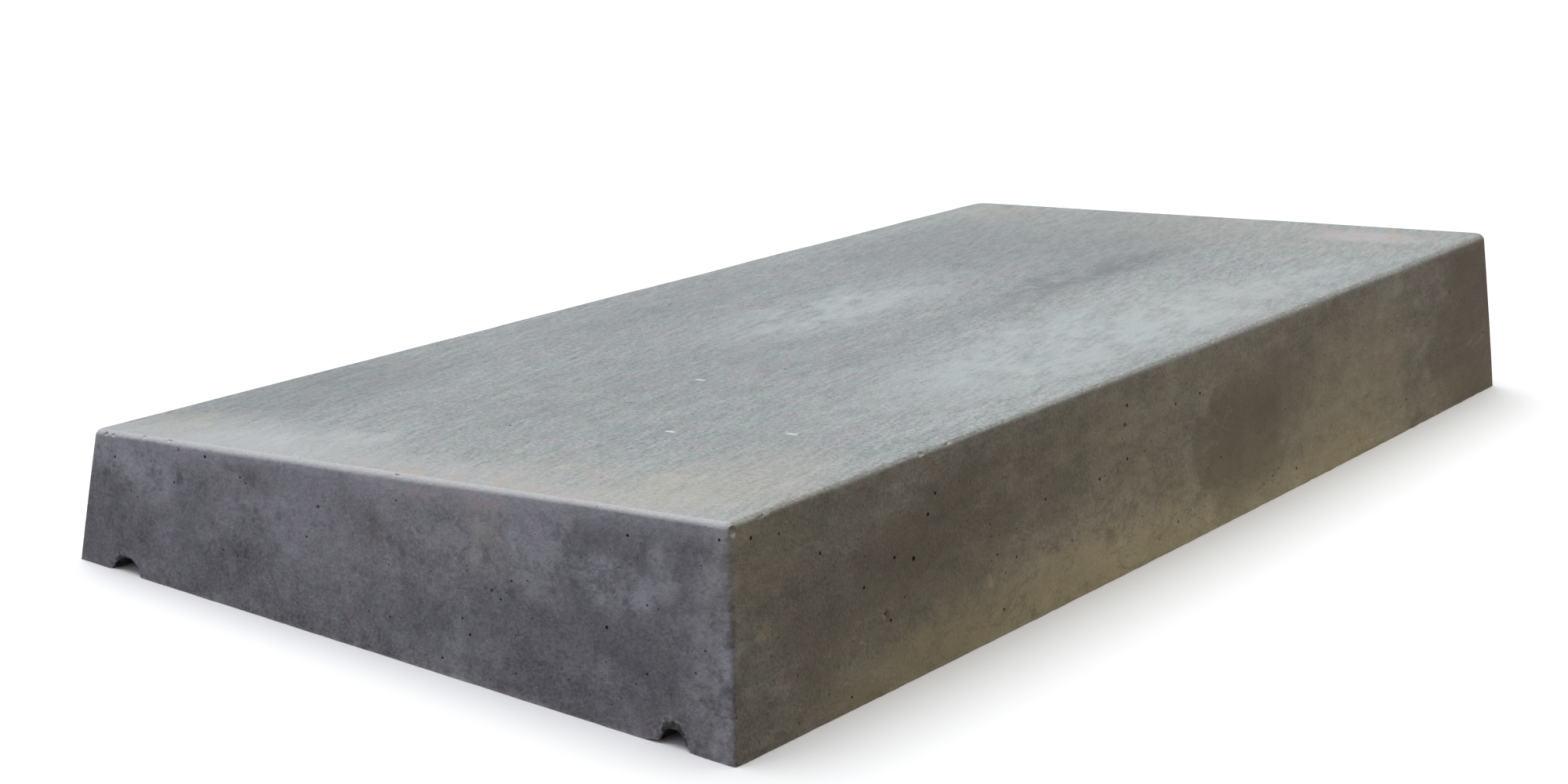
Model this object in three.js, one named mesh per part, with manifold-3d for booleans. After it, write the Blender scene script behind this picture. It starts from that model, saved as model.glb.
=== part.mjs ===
// A precast concrete wall coping, once weathered: a slab whose top falls from a thick long side to a
// thin one, with drafted sides, rounded upper arrises, a half-round drip groove under each long side,
// and a light tied steel cage cast inside it.
//
// Millimetres. X runs across the wall, from the thin side (-X) to the thick side (+X). Y runs along the
// wall and Z is up. The origin is the middle of the underside, which is the bedding face.

import * as THREE from "three";
import { mergeVertices } from "three/addons/utils/BufferGeometryUtils.js";
import Module from "manifold-3d";

// Casting
const LENGTH = 610;
const END_WIDTH = 300; // at the base of either end
const SIDE_BOW = 2; // the thick side bulges this much at mid length
const THICK_EDGE = 75; // height of the sharp arris above the thick side
const THIN_EDGE = 50;
const LONG_SIDE_DRAFT = 0.115; // inset for each unit of height
const END_DRAFT = 0.065;
const ARRIS_RADIUS = 4;
const ARRIS_STEPS = 5;
const CORNER_RADIUS = 2; // in plan
const OUTLINE_SEGMENTS = 5; // for each curve of the plan outline

// Drip grooves
const GROOVE_RADIUS = 6.5;
const GROOVE_INSET = 24.5; // from the base edge of each long side to the groove's centre line
const GROOVE_SIDES = 24;

// Cage
const FIT_GAP = 0.3; // between any two pieces that touch
const BAR_RADIUS = 3;
const BAR_SIDES = 12;
const LONG_BAR_LENGTH = 550;
const LONG_BAR_X = [-100, 0, 100];
const LONG_BAR_HEIGHT = 24;
const CROSS_BAR_LENGTH = 240;
const CROSS_BAR_PITCH = 135;
const CROSS_BAR_COUNT = 5;
const CROSS_BAR_HEIGHT = LONG_BAR_HEIGHT + 2 * BAR_RADIUS + FIT_GAP;

// Binding wire round each crossing of two bars
const TIE_WIRE_RADIUS = 0.6;
const TIE_SIDES = 6;
const TIE_ARC_STEPS = 4; // for each half of the loop
const TIE_TAIL_LENGTH = 5;
const TIE_SLACK = 0.15;

// Hairpin wires that held the cage up in the mould, cut off at the underside
const HANGER_WIRE_RADIUS = 1;
const HANGER_SIDES = 8;
const HANGER_ARC_STEPS = 6;
const HANGER_RECESS = 0.5; // the cut ends lie this far inside the underside
const HANGER_SPOTS = [
  [-100, -202.5],
  [-100, 202.5],
  [0, -67.5],
  [0, 67.5],
  [100, -202.5],
  [100, 202.5],
];

const THIN_SIDE_X = -(END_WIDTH + SIDE_BOW) / 2;
const THICK_SIDE_X = THIN_SIDE_X + END_WIDTH;
const OVERCUT = 5; // how far a cutter runs past the face it opens

const concreteMaterial = new THREE.MeshStandardMaterial({ color: 0x7d7f7e, roughness: 0.62, metalness: 0 });
const barMaterial = new THREE.MeshStandardMaterial({ color: 0x6b5a4e, roughness: 0.6, metalness: 0.8 });
const tieMaterial = new THREE.MeshStandardMaterial({ color: 0x3f3f42, roughness: 0.5, metalness: 0.9 });
const hangerMaterial = new THREE.MeshStandardMaterial({ color: 0x9a9ea1, roughness: 0.4, metalness: 0.9 });

const wasm = await Module();
wasm.setup();

function toSolid(geometry) {
  const plain = geometry.clone();
  plain.deleteAttribute("normal");
  plain.deleteAttribute("uv");
  const merged = mergeVertices(plain, 1e-3);
  return new wasm.Manifold(
    new wasm.Mesh({
      numProp: 3,
      vertProperties: new Float32Array(merged.attributes.position.array),
      triVerts: new Uint32Array(merged.index.array),
    }),
  );
}

function toGeometry(solid) {
  const mesh = solid.getMesh();
  const geometry = new THREE.BufferGeometry();
  geometry.setAttribute("position", new THREE.BufferAttribute(mesh.vertProperties, 3));
  geometry.setIndex(new THREE.BufferAttribute(mesh.triVerts, 1));
  geometry.computeVertexNormals();
  return geometry;
}

// A route of straight steps. Its parameter counts the steps, so an extrusion along it has a section at
// every point and nowhere else.
class StepRoute extends THREE.Curve {
  constructor(points) {
    super();
    this.points = points;
  }
  get steps() {
    return this.points.length - 1;
  }
  getUtoTmapping(u) {
    return u;
  }
  getPoint(t, target = new THREE.Vector3()) {
    const place = t * this.steps;
    const index = Math.min(Math.floor(place), this.steps - 1);
    return target.lerpVectors(this.points[index], this.points[index + 1], place - index);
  }
}

function wireGeometry(route, radius, sides) {
  const section = new THREE.Shape();
  for (let side = 0; side < sides; side++) {
    const angle = (2 * Math.PI * side) / sides;
    const x = radius * Math.cos(angle);
    const y = radius * Math.sin(angle);
    if (side === 0) section.moveTo(x, y);
    else section.lineTo(x, y);
  }
  return new THREE.ExtrudeGeometry(section, { steps: route.steps, extrudePath: route });
}

// The base outline in plan. The thick side is a shallow bow, and each corner is an arc.
function planOutline() {
  const radius = CORNER_RADIUS;
  const thinCentre = THIN_SIDE_X + radius;
  const thickCentre = THICK_SIDE_X - radius;
  const endCentre = LENGTH / 2 - radius;
  const outline = new THREE.Shape();
  outline.moveTo(thinCentre, -LENGTH / 2);
  outline.lineTo(thickCentre, -LENGTH / 2);
  outline.absarc(thickCentre, -endCentre, radius, -Math.PI / 2, 0);
  outline.quadraticCurveTo(THICK_SIDE_X + 2 * SIDE_BOW, 0, THICK_SIDE_X, endCentre);
  outline.absarc(thickCentre, endCentre, radius, 0, Math.PI / 2);
  outline.lineTo(thinCentre, LENGTH / 2);
  outline.absarc(thinCentre, endCentre, radius, Math.PI / 2, Math.PI);
  outline.lineTo(THIN_SIDE_X, -endCentre);
  outline.absarc(thinCentre, -endCentre, radius, Math.PI, 1.5 * Math.PI);
  return outline;
}

// The sloping top plane passes through the sharp arrises of both long sides.
const THIN_ARRIS_X = THIN_SIDE_X + LONG_SIDE_DRAFT * THIN_EDGE;
const THICK_ARRIS_X = THICK_SIDE_X - LONG_SIDE_DRAFT * THICK_EDGE;
const FALL = (THICK_EDGE - THIN_EDGE) / (THICK_ARRIS_X - THIN_ARRIS_X);

function topHeight(x) {
  return THIN_EDGE + FALL * (x - THIN_ARRIS_X);
}

// The casting without its grooves. The outline is extruded in levels: the base, then the levels of the
// rounded arris. Each level's points move in by the draft and by the arris's own curve.
function blockGeometry() {
  const levels = ARRIS_STEPS + 1;
  const block = new THREE.ExtrudeGeometry(planOutline(), {
    depth: 1,
    steps: levels,
    bevelEnabled: false,
    curveSegments: OUTLINE_SEGMENTS,
  });
  const position = block.attributes.position;
  for (let index = 0; index < position.count; index++) {
    const level = Math.round(position.getZ(index) * levels);
    if (level === 0) continue;
    const x = position.getX(index);
    const y = position.getY(index);
    const angle = ((level - 1) / ARRIS_STEPS) * (Math.PI / 2);
    const inward = ARRIS_RADIUS * (1 - Math.cos(angle));
    const below = ARRIS_RADIUS * (1 - Math.sin(angle));
    const side = Math.sign(x);
    const end = Math.sign(y);
    const height = (topHeight(x - side * inward) - below) / (1 + FALL * side * LONG_SIDE_DRAFT);
    position.setXYZ(
      index,
      x - side * (inward + LONG_SIDE_DRAFT * height),
      y - end * (inward + END_DRAFT * height),
      height,
    );
  }
  return block;
}

function grooveGeometry(x) {
  const groove = new THREE.CylinderGeometry(GROOVE_RADIUS, GROOVE_RADIUS, LENGTH + 2 * OVERCUT, GROOVE_SIDES);
  return groove.translate(x, 0, 0);
}

function longBarGeometry(x, radius, length) {
  const bar = new THREE.CylinderGeometry(radius, radius, length, BAR_SIDES);
  return bar.translate(x, 0, LONG_BAR_HEIGHT);
}

function crossBarGeometry(y, radius, length) {
  const bar = new THREE.CylinderGeometry(radius, radius, length, BAR_SIDES);
  return bar.rotateZ(Math.PI / 2).translate(0, y, CROSS_BAR_HEIGHT);
}

// A tie's loop stands in the upright plane at 45 degrees between its two bars, where each bar's section
// is an ellipse, and its two cut ends stand up side by side.
function tieRoute(x, y) {
  const reach = BAR_RADIUS + FIT_GAP + TIE_WIRE_RADIUS + TIE_SLACK;
  const wide = reach * Math.SQRT2;
  const tailHalfGap = TIE_WIRE_RADIUS + TIE_SLACK / 2;
  const tailFoot = CROSS_BAR_HEIGHT + reach;
  const loop = [[tailHalfGap, tailFoot + TIE_TAIL_LENGTH], [tailHalfGap, tailFoot]];
  for (let step = 1; step <= TIE_ARC_STEPS / 2; step++) {
    const angle = (Math.PI / 2) * (1 - step / (TIE_ARC_STEPS / 2));
    loop.push([wide * Math.cos(angle), CROSS_BAR_HEIGHT + reach * Math.sin(angle)]);
  }
  for (let step = 0; step <= TIE_ARC_STEPS; step++) {
    const angle = (Math.PI * step) / TIE_ARC_STEPS;
    loop.push([wide * Math.cos(angle), LONG_BAR_HEIGHT - reach * Math.sin(angle)]);
  }
  for (let step = TIE_ARC_STEPS / 2; step >= 1; step--) {
    const angle = (Math.PI / 2) * (1 - step / (TIE_ARC_STEPS / 2));
    loop.push([-wide * Math.cos(angle), CROSS_BAR_HEIGHT + reach * Math.sin(angle)]);
  }
  loop.push([-tailHalfGap, tailFoot], [-tailHalfGap, tailFoot + TIE_TAIL_LENGTH]);
  const across = Math.SQRT1_2;
  return new StepRoute(loop.map(([s, z]) => new THREE.Vector3(x + s * across, y + s * across, z)));
}

// A hanger passes over a long bar, and its two legs run down to footHeight.
function hangerRoute(x, y, footHeight) {
  const reach = BAR_RADIUS + FIT_GAP + HANGER_WIRE_RADIUS;
  const points = [new THREE.Vector3(x - reach, y, footHeight)];
  for (let step = 0; step <= HANGER_ARC_STEPS; step++) {
    const angle = Math.PI * (1 - step / HANGER_ARC_STEPS);
    const height = LONG_BAR_HEIGHT + reach * Math.sin(angle);
    points.push(new THREE.Vector3(x + reach * Math.cos(angle), y, height));
  }
  points.push(new THREE.Vector3(x + reach, y, footHeight));
  return new StepRoute(points);
}

const crossBarYs = Array.from(
  { length: CROSS_BAR_COUNT },
  (_, index) => (index - (CROSS_BAR_COUNT - 1) / 2) * CROSS_BAR_PITCH,
);
const crossings = crossBarYs.flatMap((y) => LONG_BAR_X.map((x) => [x, y]));

// The casting: the block, less the grooves and less the space that the cage fills.
function castingGeometry() {
  const grooves = [THIN_SIDE_X + GROOVE_INSET, THICK_SIDE_X - GROOVE_INSET].map(grooveGeometry);
  const barSpace = BAR_RADIUS + FIT_GAP;
  const cutters = [
    ...grooves,
    ...LONG_BAR_X.map((x) => longBarGeometry(x, barSpace, LONG_BAR_LENGTH + 2 * FIT_GAP)),
    ...crossBarYs.map((y) => crossBarGeometry(y, barSpace, CROSS_BAR_LENGTH + 2 * FIT_GAP)),
    ...crossings.map(([x, y]) => wireGeometry(tieRoute(x, y), TIE_WIRE_RADIUS + FIT_GAP, TIE_SIDES)),
    ...HANGER_SPOTS.map(([x, y]) =>
      wireGeometry(hangerRoute(x, y, -OVERCUT), HANGER_WIRE_RADIUS + FIT_GAP, HANGER_SIDES),
    ),
  ];
  return toGeometry(cutters.reduce((solid, cutter) => solid.subtract(toSolid(cutter)), toSolid(blockGeometry())));
}

const coping = new THREE.Group();

function addPiece(name, geometry, material) {
  const piece = new THREE.Mesh(geometry, material.clone());
  piece.name = name;
  coping.add(piece);
}

addPiece("concrete_casting", castingGeometry(), concreteMaterial);
LONG_BAR_X.forEach((x, index) => {
  addPiece(`long_bar_${index + 1}`, longBarGeometry(x, BAR_RADIUS, LONG_BAR_LENGTH), barMaterial);
});
crossBarYs.forEach((y, index) => {
  addPiece(`cross_bar_${index + 1}`, crossBarGeometry(y, BAR_RADIUS, CROSS_BAR_LENGTH), barMaterial);
});
crossings.forEach(([x, y], index) => {
  const name = `binding_wire_${String(index + 1).padStart(2, "0")}`;
  addPiece(name, wireGeometry(tieRoute(x, y), TIE_WIRE_RADIUS, TIE_SIDES), tieMaterial);
});
HANGER_SPOTS.forEach(([x, y], index) => {
  const route = hangerRoute(x, y, HANGER_RECESS);
  addPiece(`hanger_wire_${index + 1}`, wireGeometry(route, HANGER_WIRE_RADIUS, HANGER_SIDES), hangerMaterial);
});

export default coping;
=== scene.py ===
# A once weathered precast concrete wall coping, with the tied steel cage that is cast inside it, on a
# plain pale studio floor.
#
# The cage keeps its CAD shapes and gets better materials. The casting is replaced by a finer mesh of
# the same shape, inside the CAD one's box, with what a real casting has: arrises that soften and
# wander, faces that are not quite flat, crumbled groove mouths, nicks and air holes.
#
# Blender objects are in metres. The functions that shape the casting work in millimetres, in the same
# frame: X across the wall to the thick side, Y along the wall, Z up from the underside.

import math
import random

import bmesh
import bpy
import numpy as np
from mathutils import Matrix, Vector
from mathutils.bvhtree import BVHTree


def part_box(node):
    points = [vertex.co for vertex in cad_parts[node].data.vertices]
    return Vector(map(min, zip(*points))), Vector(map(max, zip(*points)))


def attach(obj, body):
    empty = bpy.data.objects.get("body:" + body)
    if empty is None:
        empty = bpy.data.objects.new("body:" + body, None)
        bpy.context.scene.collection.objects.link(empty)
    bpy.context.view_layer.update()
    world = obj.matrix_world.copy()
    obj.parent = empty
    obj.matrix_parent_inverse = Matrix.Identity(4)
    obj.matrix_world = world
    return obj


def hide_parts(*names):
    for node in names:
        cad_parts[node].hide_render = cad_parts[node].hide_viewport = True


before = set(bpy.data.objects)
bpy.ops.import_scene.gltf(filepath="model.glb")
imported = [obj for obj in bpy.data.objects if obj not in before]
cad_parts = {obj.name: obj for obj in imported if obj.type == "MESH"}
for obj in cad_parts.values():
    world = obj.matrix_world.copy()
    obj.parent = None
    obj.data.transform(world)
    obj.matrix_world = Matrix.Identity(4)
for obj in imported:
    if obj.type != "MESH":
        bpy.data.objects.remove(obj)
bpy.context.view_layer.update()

MM = 0.001

# The casting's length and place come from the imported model. The other sizes are the CAD model's own.
CASTING_LOW, CASTING_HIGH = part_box("concrete_casting")
LENGTH = round((CASTING_HIGH.y - CASTING_LOW.y) / MM)
END_WIDTH = 300
SIDE_BOW = 1.9  # of the thick side, as far as the straight facets of the CAD model keep it
THICK_EDGE = 75
THIN_EDGE = 50
LONG_SIDE_DRAFT = 0.115
END_DRAFT = 0.065
THIN_SIDE_X = round(CASTING_LOW.x / MM)
THICK_SIDE_X = THIN_SIDE_X + END_WIDTH
END_Y = LENGTH / 2
GROOVE_RADIUS = 6.5
GROOVE_INSET = 24.5
GROOVES_X = (THIN_SIDE_X + GROOVE_INSET, THICK_SIDE_X - GROOVE_INSET)

# How the top arrises and the plan corners soften. Each tuple is (thin near, thick near, thin far,
# thick far), where the near end is the one at -Y.
ARRIS_RADII = (2.5, 2.2, 4.2, 3.4)
BASE_CORNER_RADIUS = 1.1
TOP_CORNER_RADII = (3.0, 3.0, 9.0, 6.5)
LEAST_CORNER_RADIUS = 1.0
THICK_ARRIS_WEAR = 0.15  # the top is worn down by this much along the thick side

# Mesh layout
GROOVE_STEPS = 20
ARRIS_STEPS = 6
LEVEL_HEIGHTS = (0, 0.5, 1.0, 1.6, 2.3, 3.1, 4.0, 5.0, 6.2, 7.6, 9.2)  # close lines near the base
LEVEL_SPACING = 2.0
SHARP_ANGLE = math.radians(38)

# Cast surface
FACE_WAVE = 0.28  # how far the flat faces wander inwards
FACE_RIPPLE = 0.05
FACE_ROUGHNESS = 0.35  # of the underside, which was the open face of the mould
MOUTHS = ((6.3, 5.0), (4.8, 5.4))  # half width and height of each groove where it meets an end
MOUTH_CRUMBLE = 0.3  # how far the groove mouths are broken away
MOUTH_REACH = 5.0
SEED = 11


# ---------------------------------------------------------------- stage, camera and lights


def set_camera():
    """Stands the camera at the near right corner, a little above the slab."""
    camera = bpy.data.objects.new("camera", bpy.data.cameras.new("camera"))
    bpy.context.scene.collection.objects.link(camera)
    camera.location = (0.5926, -0.9108, 0.3202)
    camera.rotation_euler = [math.radians(angle) for angle in (74.958, -1.822, 35.876)]
    camera.data.sensor_width = 36
    camera.data.lens = 61.25
    bpy.context.scene.camera = camera


def add_area_light(name, place, aim, size, power, colour):
    light = bpy.data.lights.new(name, "AREA")
    light.shape = "RECTANGLE"
    light.size, light.size_y = size
    light.energy = power
    light.color = colour
    lamp = bpy.data.objects.new(name, light)
    bpy.context.scene.collection.objects.link(lamp)
    lamp.location = place
    lamp.rotation_euler = (Vector(aim) - Vector(place)).to_track_quat("-Z", "Y").to_euler()


def add_soft_sun(name, direction, strength, spread, colour):
    """A sun with a wide disc, which lights everything evenly from one side."""
    light = bpy.data.lights.new(name, "SUN")
    light.energy = strength
    light.angle = spread
    light.color = colour
    lamp = bpy.data.objects.new(name, light)
    bpy.context.scene.collection.objects.link(lamp)
    lamp.rotation_euler = Vector(direction).to_track_quat("-Z", "Y").to_euler()


def set_lights():
    """A broad even light overhead, a weak cool one at the near end, and a warm one low at the far
    right."""
    middle = (0, 0, 0.04)
    add_soft_sun("overhead", (0.26, -0.05, -1), 2.75, 1.0, (0.98, 1.0, 0.98))
    add_area_light("cool fill", (-0.7, -2.6, 0.8), middle, (1.8, 1.2), 9.6, (0.83, 0.72, 1.0))
    add_area_light("warm fill", (1.25, 1.15, 0.42), (0.15, 0.16, 0.03), (0.9, 0.6), 5.0, (1.0, 0.88, 0.70))


def set_surroundings():
    """Plain studio surroundings: cool to the left of the slab, and warm and dimmer to its right."""
    world = bpy.data.worlds.new("studio")
    bpy.context.scene.world = world
    nodes = Nodes(world)
    direction = nodes.add("ShaderNodeTexCoord").outputs["Generated"]
    rightward = nodes.add("ShaderNodeSeparateXYZ", {"Vector": direction}).outputs["X"]
    colour = nodes.mix(nodes.band(rightward, -0.2, 0.8), (0.44, 0.47, 0.54, 1), (0.16, 0.125, 0.075, 1))
    background = nodes.add("ShaderNodeBackground", {"Color": colour}).outputs["Background"]
    nodes.add("ShaderNodeOutputWorld", {"Surface": background})


def add_floor():
    """A pale floor. The light that it throws back on the slab is dimmer than the floor looks: cool on
    the left, warm on the right, and brightest close beside the thick side."""
    half = 30
    mesh = bpy.data.meshes.new("floor")
    corners = [(-half, -half, 0), (half, -half, 0), (half, half, 0), (-half, half, 0)]
    mesh.from_pydata(corners, [], [(0, 1, 2, 3)])
    floor = bpy.data.objects.new("floor", mesh)
    bpy.context.scene.collection.objects.link(floor)
    material = bpy.data.materials.new("floor")
    nodes = Nodes(material)
    rightward = nodes.band(nodes.position()["X"], 0.0, 0.35)
    thrown = nodes.mix(rightward, (0.22, 0.22, 0.25, 1), (0.15, 0.125, 0.085, 1))
    glow = nodes.patch(nodes.place(), (0.165, 0.02, 0), (0.024, 0.27, 1), 0.5)
    thrown = nodes.mix(glow, thrown, (0.92, 0.77, 0.41, 1))
    seen = nodes.add("ShaderNodeLightPath").outputs["Is Camera Ray"]
    nodes.surface(nodes.mix(seen, thrown, grey(0.92)), roughness=0.9, specular=0.1)
    mesh.materials.append(material)


# ---------------------------------------------------------------- shader nodes


def grey(value, tint=(1, 1, 1)):
    return (value * tint[0], value * tint[1], value * tint[2], 1)


class Nodes:
    """Makes and joins the nodes of one material or world, so that it reads as a list of steps. Most
    methods give back the socket that holds their result."""

    def __init__(self, owner):
        owner.use_nodes = True
        self.tree = owner.node_tree
        self.tree.nodes.clear()

    def add(self, kind, inputs=None, **settings):
        node = self.tree.nodes.new(kind)
        for key, value in settings.items():
            setattr(node, key, value)
        for key, value in (inputs or {}).items():
            self.feed(node.inputs[key], value)
        return node

    def feed(self, socket, value):
        if isinstance(value, bpy.types.NodeSocket):
            self.tree.links.new(value, socket)
        else:
            socket.default_value = value

    def place(self):
        """Places on the object in metres, for a pattern to read."""
        return self.add("ShaderNodeTexCoord").outputs["Object"]

    def lay(self, texture, shift, scale, turn=0.0):
        """Shifts a texture's pattern, scales it along the axes and turns it about Z."""
        mapping = texture.texture_mapping
        mapping.vector_type = "TEXTURE"
        mapping.translation = shift
        mapping.scale = scale
        mapping.rotation = (0, 0, turn)

    def ragged_place(self, size, amount):
        """Places on the object, pushed about by up to amount, so that a shape gets a ragged edge."""
        source = self.place()
        inputs = {"Vector": source, "Scale": 1 / size, "Detail": 6.0, "Roughness": 0.72}
        push = self.add("ShaderNodeTexNoise", inputs).outputs["Color"]
        push = self.vector("SUBTRACT", push, (0.5, 0.5, 0.5))
        return self.vector("ADD", source, self.vector("MULTIPLY", push, (2 * amount,) * 3))

    def position(self):
        """The same places, one number for each axis."""
        return self.add("ShaderNodeSeparateXYZ", {"Vector": self.place()}).outputs

    def facing(self):
        """The surface's direction, one number for each axis."""
        source = self.add("ShaderNodeTexCoord").outputs["Normal"]
        return self.add("ShaderNodeSeparateXYZ", {"Vector": source}).outputs

    def noise(self, size, shift=(0, 0, 0), along=1.0, turn=0.0, detail=4.0, roughness=0.5, distortion=0.0):
        """Smooth noise from 0 to 1. size is its coarsest feature in metres. It is drawn out along Y by
        the factor along, or along a line turned from Y about Z."""
        inputs = {
            "Vector": self.place(),
            "Scale": 1 / size,
            "Detail": detail,
            "Roughness": roughness,
            "Distortion": distortion,
        }
        node = self.add("ShaderNodeTexNoise", inputs)
        self.lay(node, shift, (1, along, 1), turn)
        return node.outputs["Fac"]

    def cells(self, size, shift=(0, 0, 0)):
        """The node of a pattern of scattered cells, which are size across."""
        node = self.add("ShaderNodeTexVoronoi", {"Vector": self.place(), "Scale": 1 / size})
        self.lay(node, shift, (1, 1, 1))
        return node

    def specks(self, spacing, radius, share, shift=(0, 0, 0)):
        """A mask of small round specks. share is the part of the cells that has one."""
        cells = self.cells(spacing, shift)
        split = self.add("ShaderNodeSeparateColor", {"Color": cells.outputs["Color"]}).outputs
        reach = radius / spacing
        dot = self.band(cells.outputs["Distance"], 0.5 * reach, 1.4 * reach, 1, 0)
        return self.times(dot, self.band(split["Red"], 1 - share, 1 - 0.8 * share))

    def wisps(self, value, width):
        """A mask of thin wandering lines, where noise crosses the middle of its range."""
        offset = self.math("ABSOLUTE", self.plus(value, -0.5), 0)
        return self.band(offset, 0, width, 1, 0)

    def patch(self, place, centre, size, soft=0.6, inside=1.0, outside=0.0):
        """A mask with one value inside an ellipsoid and another outside it. soft is the width of its
        edge."""
        ball = self.add("ShaderNodeTexGradient", {"Vector": place}, gradient_type="SPHERICAL")
        self.lay(ball, centre, Vector(size) * (1 + soft))
        return self.band(ball.outputs["Fac"], 0, 2 * soft / (1 + soft), outside, inside)

    def band(self, value, low, high, to_low=0.0, to_high=1.0):
        """A smooth step from to_low to to_high as value goes from low to high."""
        if high < low:
            low, high, to_low, to_high = high, low, to_high, to_low
        inputs = {
            "Value": value,
            "From Min": low,
            "From Max": high,
            "To Min": to_low,
            "To Max": to_high,
        }
        return self.add("ShaderNodeMapRange", inputs, interpolation_type="SMOOTHSTEP").outputs["Result"]

    def math(self, operation, first, second):
        return self.add("ShaderNodeMath", {0: first, 1: second}, operation=operation).outputs[0]

    def vector(self, operation, first, second):
        return self.add("ShaderNodeVectorMath", {0: first, 1: second}, operation=operation).outputs[0]

    def times(self, first, *others):
        for other in others:
            first = self.math("MULTIPLY", first, other)
        return first

    def plus(self, first, *others):
        for other in others:
            first = self.math("ADD", first, other)
        return first

    def swing(self, value, amount):
        """Noise from 0 to 1, made into a change of up to half of amount either way."""
        return self.times(self.plus(value, -0.5), amount)

    def mix(self, factor, first, second, blend="MIX"):
        """Mixes two colours."""
        node = self.add("ShaderNodeMix", data_type="RGBA", blend_type=blend)
        colours = [socket for socket in node.inputs if socket.type == "RGBA"]
        self.feed(node.inputs[0], factor)
        self.feed(colours[0], first)
        self.feed(colours[1], second)
        return next(socket for socket in node.outputs if socket.type == "RGBA")

    def bump(self, height, distance, strength=1.0):
        inputs = {"Height": height, "Distance": distance, "Strength": strength}
        return self.add("ShaderNodeBump", inputs).outputs["Normal"]

    def surface(self, colour, roughness, normal=None, metallic=0.0, specular=0.5):
        inputs = {
            "Base Color": colour,
            "Roughness": roughness,
            "Metallic": metallic,
            "Specular IOR Level": specular,
        }
        if normal is not None:
            inputs["Normal"] = normal
        shader = self.add("ShaderNodeBsdfPrincipled", inputs).outputs["BSDF"]
        self.add("ShaderNodeOutputMaterial", {"Surface": shader})


# ---------------------------------------------------------------- materials

CAST_FACE = 0.20
TROWELLED = 0.30
UNDERSIDE = 0.26
TOP_TINT = (0.957, 1.011, 0.996)
PINK = (1.04, 0.982, 1.0)
GREEN = (0.97, 1.012, 0.98)
BLOOM_AND_HIGHLIGHT = (0.38, 0.39, 0.41, 1)
CHALK_AND_SHEEN = (0.40, 0.432, 0.425, 1)
RUBBED_AND_HIGHLIGHT = (0.46, 0.465, 0.46, 1)
SHADE = (0.080, 0.086, 0.095, 1)
UMBER = (0.095, 0.078, 0.064, 1)
STRAW = (0.40, 0.36, 0.27, 1)
ROSE = (0.40, 0.31, 0.27, 1)
BROKEN = (0.24, 0.225, 0.19, 1)
RECESS_SHADE = (0.022, 0.018, 0.016, 1)
STREAK_TURN = 0.20  # the trowel's fine streaks are turned this far from the length

# Stains and patches of painted light in millimetres: centre, half sizes, tone, strength and how soft the
# edge is. The clouds are whole, and the stains are broken up by the mottling of the face.
CAST_CLOUDS = (
    ((20, -302, 60), (110, 12, 30), BLOOM_AND_HIGHLIGHT, 0.16, 0.6),  # paler towards the top of the near end
    ((44, -302, 56), (36, 12, 19), BLOOM_AND_HIGHLIGHT, 0.12, 0.4),
    ((-34, -302, 33), (17, 12, 20), BLOOM_AND_HIGHLIGHT, 0.17, 0.6),
    ((118, -302, 52), (42, 12, 36), SHADE, 0.30, 0.05),  # the darker right half, with a clear edge
    ((70, -302, 14), (70, 12, 22), SHADE, 0.24, 0.3),
    ((-118, -302, 16), (70, 12, 24), SHADE, 0.22, 0.6),
    # The warm pale band low on the thick side, in this row and the two below: partly a warm stain, partly
    # painted warm light thrown up from the floor.
    ((150, -112, 2), (12, 138, 16), STRAW, 0.34, 0.30),  # a warm pale band low on the thick side
    ((150, -215, 2), (12, 60, 14), STRAW, 0.18, 0.5),
    ((150, 104, 2), (12, 66, 10), STRAW, 0.28, 0.5),
    ((147, -58, 30), (12, 40, 28), STRAW, 0.13, 0.35),
    ((147, 142, 34), (12, 60, 28), STRAW, 0.24, 0.4),
    ((144, -20, 62), (12, 110, 12), STRAW, 0.10, 0.6),
    ((143, -285, 60), (12, 24, 14), STRAW, 0.18, 0.5),
    ((147, 42, 31), (12, 42, 26), UMBER, 0.42, 0.40),  # a dark smear past the middle
    ((147, 14, 33), (12, 21, 19), UMBER, 0.28, 0.12),
    ((147, 74, 48), (12, 32, 12), UMBER, 0.30, 0.5),
    ((147, -215, 30), (12, 80, 44), UMBER, 0.17, 0.5),
    ((147, 292, 34), (12, 60, 60), UMBER, 0.56, 0.35),
    ((146, -160, 48), (12, 74, 18), UMBER, 0.33, 0.5),
)
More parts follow.
